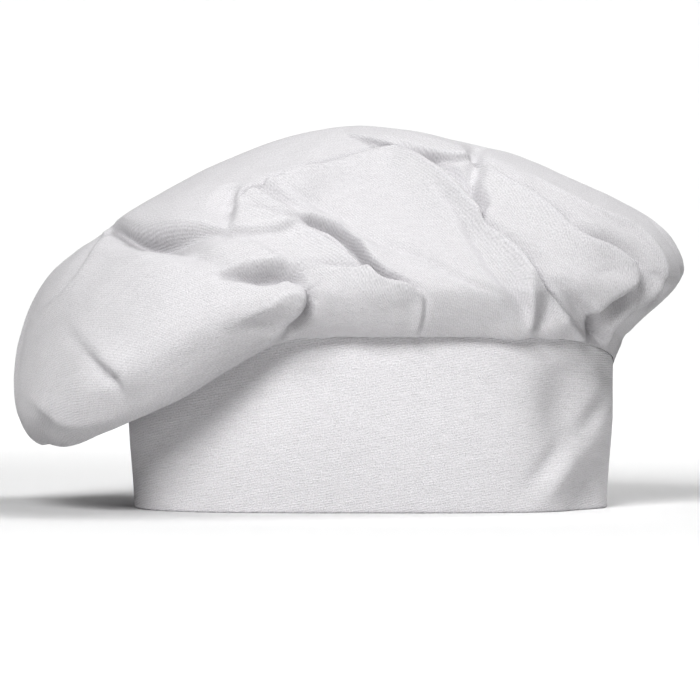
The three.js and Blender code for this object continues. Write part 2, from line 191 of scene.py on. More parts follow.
KNIFE, RIDGE, VALLEY = FoldKind.KNIFE, FoldKind.RIDGE, FoldKind.VALLEY
FOLDS: tuple[Fold, ...] = (
    Fold("lobe_groove", KNIFE,
         ((-60, 103, 0.1), (-50.5, 105.5, 0.6), (-42, 107.5, 1), (-33, 108.5, 1), (-26, 107.5, 1),
          (-20.5, 103.5, 0.8), (-18, 98, 0.3)),
         rise=3, left=14, right=9, trough=8, trough_width=7, lean=3.5),
    Fold("lobe_end", KNIFE,
         ((-29, 73, 0.4), (-23, 77, 0.9), (-20.5, 81, 1), (-19, 85.5, 1), (-18.5, 91, 0.9),
          (-19.5, 95, 0.5), (-21, 98, 0.1)),
         rise=6, left=20, right=3, trough=5, trough_width=8, lean=3),
    Fold("lobe_cap", KNIFE,
         ((-50, 81, 0.1), (-44, 83, 0.4), (-35, 86.5, 0.9), (-28.5, 91, 1), (-21, 94.5, 0.7),
          (-18.5, 95.5, 0.2)),
         rise=3.5, left=9, right=12, trough=3, trough_width=6, lean=1),
    Fold("lobe_fold", VALLEY,
         ((-103.5, 124, 0.2), (-97, 121, 0.7), (-88, 117.5, 1), (-75, 112, 0.9), (-64, 107, 0.5),
          (-55, 103, 0.1)),
         rise=6.5, left=13, right=14),
    Fold("lobe_sheet_edge", KNIFE,
         ((-107, 128, 0.2), (-102, 127, 0.7), (-94.5, 126, 1), (-83.5, 125.5, 1), (-68.5, 124.5, 0.7),
          (-52, 123.5, 0.45), (-37.5, 123, 0.3), (-22, 124, 0.1)),
         rise=3, left=14, right=9, trough=7, trough_width=16, lean=5),
    Fold("lobe_back_edge", KNIFE,
         ((-106, 128, 0.2), (-111.5, 118.5, 1), (-119, 106, 1), (-126, 96.5, 0.9), (-132, 90, 0.6),
          (-137, 84, 0.2)),
         rise=2, left=18, right=4, trough=2, trough_width=12, lean=2),
    Fold("lobe_dent", KNIFE,
         ((-125, 83, 0.05), (-117, 71.5, 0.5), (-110, 64, 1), (-102, 56, 1), (-98.5, 47, 0.1)),
         rise=4, left=14, right=6.5, trough=3.5, trough_width=10, lean=2),
    Fold("lobe_belly", KNIFE,
         ((-145, 49, 0.2), (-139, 45, 0.7), (-135, 40, 1), (-127.5, 35, 1), (-119, 33.5, 1),
          (-110, 35, 0.8), (-101, 39, 0.3)),
         rise=2.6, left=20, right=8),
    Fold("lobe_notch", VALLEY,
         ((-134, 28, 1), (-133, 34, 0.9), (-131, 38, 0.4), (-130, 41, 0.1)),
         rise=2.4, left=7, right=11),
    Fold("first_pleat", KNIFE,
         ((29.5, 74, 0.25), (31.5, 82, 0.25), (32, 90, 0.35), (29, 95.5, 0.6), (24, 99, 0.9),
          (17, 100.5, 1), (9, 103.5, 1), (-2, 112.5, 1), (-12, 121, 1), (-21, 126.5, 0.9),
          (-33, 130.5, 0.6), (-44, 133, 0.4), (-50.5, 135, 0.1)),
         rise=4.4, left=11, right=3, trough=3, trough_width=5, lean=2.5),
    Fold("pleat_lip", KNIFE,
         ((-24, 129.5, 0.1), (-13, 127.5, 0.7), (-3, 124, 1), (4, 117.5, 1), (9.5, 110, 1),
          (16, 104.5, 0.8), (23.5, 100.5, 0.1)),
         rise=3.4, left=10, right=7, trough=8, trough_width=5, lean=4.5),
    Fold("pleat_lens", VALLEY,
         ((-48.5, 135, 0.2), (-42, 135, 0.9), (-36, 134, 1), (-31, 132, 1), (-25.5, 130, 0.7),
          (-21.5, 128, 0.2)),
         rise=4.5, left=5, right=3),
    Fold("pleat_line", VALLEY,
         ((-40.5, 143, 0.1), (-35.5, 142, 0.8), (-32, 141, 1), (-29.5, 138.5, 1), (-22, 134.5, 1),
          (-15.5, 131.5, 1), (-9, 128, 1), (-2.5, 126, 1), (3.5, 120.5, 1), (6.5, 118, 1),
          (13, 114.5, 1), (26, 110, 0.9), (35, 106, 0.8), (43.5, 101.5, 0.7), (57, 95.5, 0.5),
          (67, 92, 0.1)),
         rise=1.8, left=4.5, right=2.5),
    Fold("strip_edge", KNIFE,
         ((21.5, 100, 0.2), (8.5, 102, 1), (0, 103.5, 1), (-18, 108, 1), (-26.5, 109.5, 0.8),
          (-35.5, 113.5, 0.6), (-42, 117.5, 0.5), (-49.5, 120, 0)),
         rise=2.2, left=9, right=2, trough=1.6, trough_width=5, lean=1.5),
    Fold("short_crease", VALLEY,
         ((-53, 121.5, 0.3), (-52.5, 126, 1), (-52, 130.5, 1), (-51, 135, 0.7), (-48.5, 138.5, 0.1)),
         rise=5, left=11, right=3),
    Fold("second_pleat", KNIFE,
         ((79, 74.5, 0.4), (81, 79, 0.9), (81.5, 86, 1), (80, 95, 1), (77, 103, 0.9),
          (72, 111, 0.6), (65.5, 120, 0.1)),
         rise=5, left=5, right=8, trough=5, trough_width=14, lean=1.5),
    Fold("pleat_furrow", VALLEY,
         ((80.5, 80.5, 0.5), (76.5, 85, 1), (72, 90, 1), (68, 95.5, 1), (63.5, 100.5, 1),
          (59, 107.5, 0.9), (54.5, 115, 0.8), (48, 124, 0.6), (41.5, 131.5, 0.5), (35, 139.5, 0.1)),
         rise=4, left=4.5, right=9),
    Fold("panel_edge", KNIFE,
         ((103.5, 70.5, 0.5), (102, 75.5, 0.8), (98.5, 81, 1), (94, 87.5, 1), (90, 93.5, 1),
          (85.5, 99, 1), (81, 104, 1), (76.5, 109.5, 0.9), (68, 119, 0.8), (61, 124, 0.8),
          (56, 128.5, 0.7), (52.5, 133, 0.3), (49, 137.5, 0)),
         rise=3.6, left=4, right=3.5, trough=4, trough_width=6, lean=4),
    Fold("panel_shoulder", KNIFE,
         ((59.5, 125, 0), (56, 128.5, 0.6), (51.5, 135, 1), (46, 142, 1), (39.5, 148.5, 1),
          (30.5, 154.5, 0.9), (21.5, 158, 0.6), (15, 159.5, 0.1)),
         rise=4.5, left=18, right=10, trough=5, trough_width=4, lean=3),
    Fold("pleat_wedge", VALLEY,
         ((105, 71, 0.5), (103, 77, 0.9), (101, 83, 1), (97.5, 89, 0.9), (93, 95, 0.5), (89, 99, 0.1)),
         rise=7, left=4, right=6),
    Fold("panel_top", KNIFE,
         ((24, 157, 0.1), (14, 159, 0.6), (3, 155.5, 1), (-9, 151.5, 1), (-20, 150, 1),
          (-32, 146, 1), (-43, 141, 1), (-51, 135, 0.4)),
         rise=3.4, left=16, right=3, trough=3.6, trough_width=5, lean=2.5),
    Fold("crest_slope", VALLEY,
         ((56, 127.5, 0.2), (54, 134, 0.7), (54, 140.5, 1), (54, 147, 1), (54.5, 153, 0.9),
          (55.5, 157.5, 0.1)),
         rise=5, left=5, right=4),
    Fold("cheek_edge", KNIFE,
         ((104.5, 70, 0.4), (106, 74, 0.6), (109.5, 81.5, 0.8), (115, 87.5, 0.8), (122, 91.5, 0.9),
          (128, 96, 1), (129.5, 102, 1), (127, 108, 1), (118, 114.5, 1), (107.5, 118.5, 1),
          (99, 124, 1), (91, 132, 1), (81, 139, 0.9), (70, 144.5, 0.8), (55, 154, 0.6),
          (39.5, 159.5, 0.4), (21.5, 162.5, 0.1)),
         rise=4.2, left=14, right=5, trough=7, trough_width=11, lean=3.5),
    Fold("cheek_ring", RIDGE,
         ((113.5, 65, 0.4), (114.5, 70, 0.8), (118.5, 78.5, 1), (129.5, 86.5, 1), (137, 92, 1),
          (140.5, 97.5, 1), (141, 103, 1), (139, 110, 1), (133.5, 118, 1), (127, 124, 0.9),
          (118.5, 128.5, 0.8), (105, 134, 0.6), (92, 140, 0.4), (74.5, 148, 0)),
         rise=4.5, left=5, right=4),
    Fold("cheek_hem", VALLEY,
         ((115, 67, 0.4), (118.5, 73.5, 0.8), (127, 81, 1), (136, 87.5, 1), (142, 93.5, 1),
          (144, 101, 1), (142, 108.5, 1), (136.5, 117, 1), (129.5, 124.5, 0.8), (118.5, 131.5, 0.4),
          (105, 137.5, 0)),
         rise=2.4, left=3, right=3),
    Fold("cheek_knot", VALLEY,
         ((128, 88.5, 0.3), (131.5, 91, 1), (134.5, 94, 1), (134.5, 98.5, 0.6), (132.5, 102.5, 0.1)),
         rise=4, left=3, right=3),
    Fold("crest_crease", KNIFE,
         ((-4.5, 163.5, 0.1), (9.5, 161, 0.8), (21.5, 159, 1), (35, 156.5, 1), (48, 153.5, 0.8),
          (52.5, 153.5, 0.1)),
         rise=2.2, left=10, right=3, trough=2, trough_width=8, lean=2.5),
)

DENTS: tuple[Dent, ...] = (
    Dent(heading=326, height=45, depth=6.5, spread=8, tall=21),
    Dent(heading=325, height=66, depth=-1.2, spread=5, tall=6),
    Dent(heading=321.5, height=21, depth=1.8, spread=3.5, tall=10, slant=4.5),
    Dent(heading=324, height=14, depth=-1.4, spread=3.5, tall=12, slant=5.5),
    Dent(heading=336, height=41, depth=2.6, spread=3.5, tall=10, slant=4),
    Dent(heading=336, height=8, depth=6.5, spread=8.5, tall=17, slant=4),
    Dent(heading=341, height=60, depth=2.0, spread=5, tall=8, slant=-3),
)


@dataclass(frozen=True)
class BackPleats:
    """Pleats of the sides and back, evenly round the seam, of uneven size.

    Headings and their jitter are degrees. A reach is a share of the rows, and a size a share of the
    full size.
    """

    first: float = 26.0
    last: float = 180.0
    count: int = 8
    rise: float = 3.6
    left: float = 24.0
    right: float = 3.0
    trough: float = 1.0
    trough_width: float = 12.0
    lean: float = 1.4
    seed: int = 7
    jitter: float = 5.0
    drift: float = 7.0
    drift_power: float = 1.5
    top_share: float = 0.62
    reaches: tuple[float, float] = (0.75, 1.2)
    sizes: tuple[float, float] = (0.6, 1.15)
    fade_share: float = 0.6
    row_step: int = 4
    bare_rows: int = 6


@dataclass(frozen=True)
class Ripple:
    """Unevenness of a height, with bumps of a length, in millimetres."""

    height: float
    length: float


@dataclass(frozen=True)
class Eye:
    """Where the charts are seen from, in millimetres from the band's axis."""

    position: np.ndarray = field(
        default_factory=lambda: np.array([-AXIS_ON_CHART, -EYE_DISTANCE, EYE_HEIGHT])
    )

    def place(self, across: float, up: float) -> np.ndarray:
        """The point of the upright plane through the axis that the eye sees there."""
        return np.array([across - AXIS_ON_CHART, 0.0, up])

    def onto(self, tree: BVHTree, across: float, up: float) -> tuple[np.ndarray, np.ndarray]:
        """Finds where a line of sight first meets a surface.

        Args:
            tree: the surface.
            across: chart position across, in millimetres.
            up: chart position up, in millimetres.

        Returns:
            The point and the surface's normal there, the nearest ones if the line misses.
        """
        target = self.place(across, up)
        direction = unit(target - self.position)
        point, normal, _, _ = tree.ray_cast(Vector(self.position), Vector(direction))
        if point is None:
            point, normal, _, _ = tree.find_nearest(Vector(target))
        return np.array(point), np.array(normal)


def spline(points: np.ndarray, step: float) -> np.ndarray:
    """Draws a smooth open curve through points.

    Args:
        points: the places it passes through, a row each.
        step: the distance between the curve's own points.

    Returns:
        Points along the curve.
    """
    ends = np.vstack([2 * points[0] - points[1], points, 2 * points[-1] - points[-2]])
    out = []
    for a, b, c, d in zip(ends, ends[1:], ends[2:], ends[3:]):
        count = max(2, int(np.linalg.norm(c - b) / step))
        t = (np.arange(count) / count)[:, None]
        out.append(
            0.5 * (2 * b + (c - a) * t + (2 * a - 5 * b + 4 * c - d) * t**2
                   + (3 * b - a - 3 * c + d) * t**3)
        )
    return np.vstack([*out, points[-1:]])


@dataclass
class BandForm:
    """The upright headband: its outline seen from above, its top edge and its wall."""

    half_width: float = 105.5
    half_depth: float = 72.0
    squareness: float = 3.1
    height: float = 74.5
    wall: float = 2.0
    foot_inset: float = 2.4
    foot_share: float = 0.55
    dip_heading: float = 2.0
    dip_depth: float = 12.0
    dip_half_span: float = 46.0

    def radius(self, heading: np.ndarray) -> np.ndarray:
        """Distance from the axis to the band's outside, which is a superellipse.

        Args:
            heading: headings in degrees.

        Returns:
            A distance for each heading.
        """
        angle = np.radians(heading)
        c = np.abs(np.cos(angle) / self.half_width) ** self.squareness
        s = np.abs(np.sin(angle) / self.half_depth) ** self.squareness
        return (c + s) ** (-1.0 / self.squareness)

    def top(self, heading: np.ndarray) -> np.ndarray:
        """Height of the band's top edge, at headings in degrees."""
        away = np.abs(turn(self.dip_heading, heading)) / self.dip_half_span
        return self.height - self.dip_depth * (1.0 - smooth(away))


@dataclass
class CrownForm:
    """The crown's cloth: a loft of sections, with folds laid over it.

    The columns crowd toward the front, where the front's share of the turn is evenly spread. The
    rows of each stretch go from the seam up: to the hem, rim, cheek, brow, crest and pole. The first
    rows are held still, so that no fold moves the seam.
    """

    band: BandForm
    columns: int = 438
    front_share: float = 0.58
    crowding: int = 5
    rows_per_stretch: tuple[int, ...] = (14, 22, 38, 38, 50, 36)
    inner_step: int = 3
    seam_gap: float = -0.8
    seam_out: float = 0.5
    lead_out: float = 1.0
    lead_up: float = 4.0
    pole: tuple[float, float, float] = (-10.8, 8.0, 167.0)
    front: float = 270.0
    held_rows: int = 16
    wall: float = 1.2
    seam_wall: float = 0.3
    seam_wall_rows: float = 4.0
    path_step: float = 2.0
    ripple_wide: Ripple = Ripple(0.9, 26.0)
    ripple_fine: Ripple = Ripple(0.25, 9.0)
    easing: int = 2

    def headings(self) -> np.ndarray:
        """Headings of the columns, in degrees, crowded toward the front."""
        t = 2.0 * np.arange(self.columns) / self.columns - 1.0
        away = self.front_share * t + (1.0 - self.front_share) * t**self.crowding
        return self.front + 180.0 * away

    def ring(self, station: Station, which: int) -> Callable[[np.ndarray], np.ndarray]:
        """Makes a smooth closed curve through one value of a station.

        Args:
            station: the station.
            which: 0 for the distance from the axis, 1 for the height.

        Returns:
            A function of headings in degrees.
        """
        at = np.array([s.heading for s in SECTIONS], float)
        value = np.array([getattr(s, station.name.lower())[which] for s in SECTIONS], float)
        span = (np.roll(at, -1) - at) % 360.0
        slope = (np.roll(value, -1) - np.roll(value, 1)) / (span + np.roll(span, 1))

        def curve(heading: np.ndarray) -> np.ndarray:
            """The value at headings in degrees."""
            h = np.asarray(heading) % 360.0
            i = np.searchsorted(at, h, side="right") - 1
            j = (i + 1) % len(at)
            t = (h - at[i]) / span[i]
            u = 1.0 - t
            here = value[i] * (1 + 2 * t) * u * u + slope[i] * span[i] * t * u * u
            after = value[j] * t * t * (3 - 2 * t) - slope[j] * span[i] * t * t * u
            return here + after

        return curve

    def places(self, heading: np.ndarray) -> np.ndarray:
        """The places that each section passes through.

        Args:
            heading: headings in degrees.

        Returns:
            An array of headings by places by 3, with one place beyond each end.
        """
        angle = np.radians(heading)
        out = np.stack([np.cos(angle), np.sin(angle), np.zeros_like(angle)], -1)
        pole = np.array(self.pole)
        drift = np.array([pole[0], pole[1], 0.0])

        def place(radius: np.ndarray, height: np.ndarray, share: float) -> np.ndarray:
            """Points at a distance from the axis, at a height."""
            up = np.stack([np.zeros_like(height), np.zeros_like(height), height], -1)
            return out * radius[:, None] + up + drift * share

        seam_radius = self.band.radius(heading) + self.seam_out
        seam = place(seam_radius, self.band.top(heading) + self.seam_gap, 0)
        before = seam - out * self.lead_out - np.array([0, 0, self.lead_up])
        stations = [
            place(self.ring(s, 0)(heading), self.ring(s, 1)(heading), s.value) for s in Station
        ]
        across = heading + 180.0
        crest = Station.CREST
        beyond = place(-self.ring(crest, 0)(across), self.ring(crest, 1)(across), crest.value)
        middle = np.broadcast_to(pole, seam.shape)
        return np.stack([before, seam, *stations, middle, beyond], 1)

    def plain(self) -> np.ndarray:
        """Draws a centripetal curve up each column, through the places of its section.

        Returns:
            The crown with no folds, as columns by rows by 3; the last row is the pole.
        """
        places = self.places(self.headings())
        rows = []
        for k, count in enumerate(self.rows_per_stretch):
            a, b, c, d = (places[:, k + i] for i in range(4))
            t1 = np.sqrt(np.linalg.norm(b - a, axis=1))[:, None]
            t2 = t1 + np.sqrt(np.linalg.norm(c - b, axis=1))[:, None]
            t3 = t2 + np.sqrt(np.linalg.norm(d - c, axis=1))[:, None]
            for r in range(count):
                t = t1 + (t2 - t1) * r / count
                ab = a + (b - a) * t / t1
                bc = b + (c - b) * (t - t1) / (t2 - t1)
                cd = c + (d - c) * (t - t2) / (t3 - t2)
                abc = ab + (bc - ab) * t / t2
                bcd = bc + (cd - bc) * (t - t1) / (t3 - t1)
                rows.append(abc + (bcd - abc) * (t - t1) / (t2 - t1))
        rows.append(places[:, -2])
        return np.stack(rows, 1)


def grid_normals(grid: np.ndarray) -> np.ndarray:
    """Finds how a closed grid faces.

    Args:
        grid: columns by rows by 3, the last row a pole.

    Returns:
        The outward normals, in the same layout.
    """
    around = np.roll(grid, -1, 0) - np.roll(grid, 1, 0)
    along = np.empty_like(grid)
    along[:, 1:-1] = grid[:, 2:] - grid[:, :-2]
    along[:, 0] = grid[:, 1] - grid[:, 0]
    along[:, -1] = grid[:, -1] - grid[:, -2]
    normals = unit(np.cross(around, along))
    normals[:, -1] = unit(normals[:, -2].mean(0))
    return normals


def grid_faces(columns: int, rows: int, start: int, pole: int) -> list[tuple[int, ...]]:
    """Faces of a closed grid whose last row is one pole.

    Args:
        columns: how many columns.
        rows: how many rows, without the pole.
        start: index of the first vertex.
        pole: index of the pole.

    Returns:
        Squares, and triangles round the pole, facing out.
    """
    faces: list[tuple[int, ...]] = []
    for c in range(columns):
        p, q = start + c * rows, start + (c + 1) % columns * rows
        faces += [(p + r, q + r, q + r + 1, p + r + 1) for r in range(rows - 1)]
        faces.append((p + rows - 1, q + rows - 1, pole))
    return faces


@dataclass
class FoldLayer:
    """Lays folds over a plain grid of cloth.

    A fold is narrower where its share of its size is less, down to the thin share. The powers say
    how fast its slopes fall away. The lean reaches a few times as far back as the step is wide.
    """

    form: CrownForm
    eye: Eye
    pleats: BackPleats
    thin_share: float = 0.35
    slope_power: float = 2.0
    drop_power: float = 1.7
    soft_power: float = 1.6
    lean_reach: float = 2.5
    round_share: float = 0.2
    margin: float = 2.0

    def charted(self, tree: BVHTree, fold: Fold) -> np.ndarray:
        """A fold's path on the plain cloth, so that its raised edge is seen where charted.

        Args:
            tree: the plain cloth.
            fold: the fold.

        Returns:
            Points with the fold's share of its size as a fourth value.
        """
        chart = spline(np.array(fold.path, float), self.form.path_step)
        edge = -fold.rise if fold.kind is VALLEY else fold.rise
        seen = [self.eye.onto(tree, across, up) for across, up, _ in chart]
        along = np.gradient(np.array([point for point, _ in seen]), axis=0)
        points = []
        for (across, up, share), (_, normal), way in zip(chart, seen, along):
            shift = (normal * edge + unit(np.cross(way, normal)) * fold.lean) * share
            point, _ = self.eye.onto(tree, across - shift[0], up - shift[2])
            points.append([*point, np.clip(share, 0, None)])
        return np.array(points)

    def across(self, fold: Fold, away: np.ndarray) -> tuple[np.ndarray, np.ndarray]:
        """A fold's shape across its path.

        Args:
            fold: the fold.
            away: distances from the path, below 0 on its left.

        Returns:
            Heights, and shifts to the right.
        """
        left, right = np.clip(-away, 0, None), np.clip(away, 0, None)
        if fold.kind is KNIFE:
            high = fold.rise * np.clip(1 - left / fold.left, 0, 1) ** self.slope_power
            drop = 1 - np.clip(1 - right / fold.right, 0, 1) ** self.drop_power
            beyond = np.clip((right - fold.right) / fold.trough_width, 0, 1)
            low = fold.trough * drop * (1 - beyond) ** self.soft_power
            height = np.where(away < 0, high, fold.rise * (1 - drop) - low)
            behind = np.clip(1 - left / (self.lean_reach * fold.right), 0, 1) ** self.slope_power
            pull = np.where(away < 0, behind, 1 - smooth(right / fold.right))
            return height, fold.lean * pull
        soft = self.round_share * min(fold.left, fold.right)
        width = np.where(away < 0, fold.left, fold.right)
        share = (np.sqrt(away**2 + soft**2) - soft) / width
        height = fold.rise * np.clip(1 - share, 0, 1) ** self.soft_power
        if fold.kind is VALLEY:
            height = -height
        return height, np.zeros_like(height)

    def moves(
        self, fold: Fold, path: np.ndarray, points: np.ndarray, normals: np.ndarray
    ) -> np.ndarray:
        """How far one fold moves each point of the cloth.

        Args:
            fold: the fold.
            path: its path on the plain cloth.
            points: the plain cloth.
            normals: its outward normals.

        Returns:
            Moves, a row for each point.
        """
        reach = max(fold.left, fold.right + fold.trough_width) + self.margin
        way, sizes = path[:, :3], path[:, 3]
        low, high = way.min(0) - reach, way.max(0) + reach
        near = np.where(((points > low) & (points < high)).all(1))[0]
        move = np.zeros_like(points)
        if not len(near):
            return move
        p, n = points[near], normals[near]
        best = np.full(len(p), np.inf)
        signed, size = np.zeros(len(p)), np.zeros(len(p))
        side = np.zeros_like(p)
        for i in range(len(way) - 1):
            along = way[i + 1] - way[i]
            share = np.clip((p - way[i]) @ along / max(along @ along, TINY), 0, 1)
            gap = p - (way[i] + share[:, None] * along)
            distance = np.linalg.norm(gap, axis=1)
            to_right = unit(np.cross(along, n))
            closer = distance < best
            best = np.where(closer, distance, best)
            sign = np.where((to_right * gap).sum(1) > 0, 1.0, -1.0)
            signed = np.where(closer, sign * distance, signed)
            size = np.where(closer, sizes[i] + share * (sizes[i + 1] - sizes[i]), size)
            side = np.where(closer[:, None], to_right, side)
        width = self.thin_share + (1 - self.thin_share) * size
        height, shift = self.across(fold, signed / width)
        move[near] = (n * height[:, None] + side * shift[:, None]) * size[:, None]
        return move

    def back_paths(self, grid: np.ndarray) -> list[tuple[Fold, np.ndarray]]:
        """Pleats of the sides and back, each up a column of the plain grid.

        Args:
            grid: the plain cloth, columns by rows by 3.

        Returns:
            Each pleat with its path.
        """
        pleats = self.pleats
        random = np.random.default_rng(pleats.seed)
        headings = self.form.headings()
        rows = grid.shape[1]
        found = []
        for k in range(pleats.count):
            share = k / (pleats.count - 1)
            heading = pleats.first + share * (pleats.last - pleats.first)
            heading += random.uniform(-pleats.jitter, pleats.jitter)
            drift = random.uniform(-pleats.drift, pleats.drift)
            reach = int(rows * pleats.top_share * random.uniform(*pleats.reaches))
            size = random.uniform(*pleats.sizes)
            path = []
            for row in range(pleats.row_step, min(reach, rows - pleats.bare_rows), pleats.row_step):
                bent = heading + drift * (row / rows) ** pleats.drift_power
                column = int(np.argmin(np.abs(turn(bent, headings))))
                left_over = 1 - row / reach
                path.append([*grid[column, row], smooth(left_over / pleats.fade_share)])
            fold = Fold(
                f"back_pleat_{k}", KNIFE, (), rise=pleats.rise * size, left=pleats.left,
                right=pleats.right, trough=pleats.trough * size, trough_width=pleats.trough_width,
                lean=pleats.lean,
            )
            found.append((fold, np.array(path)))
        return found

    def lay(self, grid: np.ndarray) -> np.ndarray:
        """The cloth with all its folds.

        Args:
            grid: the plain cloth, columns by rows by 3.

        Returns:
            The folded cloth, in the same layout.
        """
        columns, rows = grid.shape[:2]
        points = grid.reshape(-1, 3)
        normals = grid_normals(grid).reshape(-1, 3)
        skin = np.concatenate([grid[:, :-1].reshape(-1, 3), grid[:1, -1]])
        faces = grid_faces(columns, rows - 1, 0, len(skin) - 1)
        tree = BVHTree.FromPolygons([Vector(p) for p in skin], faces)
        charted = [(fold, self.charted(tree, fold)) for fold in FOLDS]
        move = np.zeros_like(points)
        for fold, path in charted + self.back_paths(grid):
            move += self.moves(fold, path, points, normals)
        move += normals * self.ripple(points)[:, None]
        held = smooth(np.arange(rows) / self.form.held_rows)
        moved = points + move * np.tile(held, columns)[:, None]
        return self.eased(moved.reshape(grid.shape))

    def ripple(self, points: np.ndarray) -> np.ndarray:
        """Finds the soft unevenness of washed cloth.

        Args:
            points: places on the cloth.

        Returns:
            A height for each.
        """
        wide, fine = self.form.ripple_wide, self.form.ripple_fine
        return np.array([
            wide.height * noise.noise(Vector(p) / wide.length)
            + fine.height * noise.noise(Vector(p) / fine.length) for p in points
        ])

    def eased(self, grid: np.ndarray) -> np.ndarray:
        """Averages each point a little with its neighbours, below the pole.

        Args:
            grid: the cloth, columns by rows by 3.

        Returns:
            The eased cloth, in the same layout.
        """
        for _ in range(self.form.easing):
            around = (np.roll(grid, 1, 0) + 2 * grid + np.roll(grid, -1, 0)) / 4
            along = around.copy()
            along[:, 1:-1] = (around[:, :-2] + 2 * around[:, 1:-1] + around[:, 2:]) / 4
            along[:, 0], along[:, -1] = grid[:, 0], grid[:, -1]
            grid = along
        return grid


def new_object(name: str, vertices: np.ndarray, faces: list[tuple[int, ...]]) -> bpy.types.Object:
    """Makes a smooth-shaded mesh object at the origin.

    Args:
        name: the object's name.
        vertices: a row for each, in metres.
        faces: corners of each face.

    Returns:
        The object, linked to the scene.
    """
    mesh = bpy.data.meshes.new(name)
    mesh.from_pydata(vertices.tolist(), [], faces)
    mesh.validate()
    mesh.polygons.foreach_set("use_smooth", [True] * len(mesh.polygons))
    mesh.update()
    piece = bpy.data.objects.new(name, mesh)
    bpy.context.scene.collection.objects.link(piece)
    return piece


def map_cloth(piece: bpy.types.Object, place: np.ndarray) -> None:
    """Gives a piece the map of its flat cloth.

    Args:
        piece: the piece.
        place: each vertex's place on the flat cloth, in metres.
    """
    corners = np.empty(len(piece.data.loops), int)
    piece.data.loops.foreach_get("vertex_index", corners)
    layer = piece.data.uv_layers.new(name=CLOTH_MAP)
    layer.data.foreach_set("uv", place[corners].astype(np.float32).ravel())


@dataclass
class NodeBuilder:
    """Adds nodes to a tree and wires them."""

    tree: bpy.types.NodeTree

    def sockets(self, direction: str, kinds: dict[str, str]) -> None:
        """Gives the tree its own inputs or outputs, each name with its kind."""
        for name, kind in kinds.items():
            self.tree.interface.new_socket(name, in_out=direction, socket_type="NodeSocket" + kind)

    def add(self, kind: str, wires: dict | None = None, **settings: object) -> bpy.types.Node:
        """Adds a node.

        Args:
            kind: the node's type.
            wires: a socket or a plain value for each of its inputs, by name or by number.
            settings: values of its properties.

        Returns:
            The node.
        """
        node = self.tree.nodes.new(kind)
        for name, value in settings.items():
            setattr(node, name, value)
        for name, value in (wires or {}).items():
            if isinstance(value, bpy.types.NodeSocket):
                self.tree.links.new(value, node.inputs[name])
            else:
                node.inputs[name].default_value = value
        return node

    def math(self, operation: str, *values: object) -> bpy.types.NodeSocket:
        """Adds a Math node fed with sockets or numbers, and returns its output."""
        return self.add("ShaderNodeMath", dict(enumerate(values)), operation=operation).outputs[0]

    def eased(
        self, value: object, end: object, first: object, last: object
    ) -> bpy.types.NodeSocket:
        """Adds a soft step.

        Args:
            value: what goes from 0 to its end.
            end: the end.
            first: the result at 0.
            last: the result at the end.

        Returns:
            The result's socket.
        """
        wires = {"Value": value, "From Min": 0.0, "From Max": end, "To Min": first, "To Max": last}
        return self.add("ShaderNodeMapRange", wires, interpolation_type="SMOOTHSTEP").outputs[0]


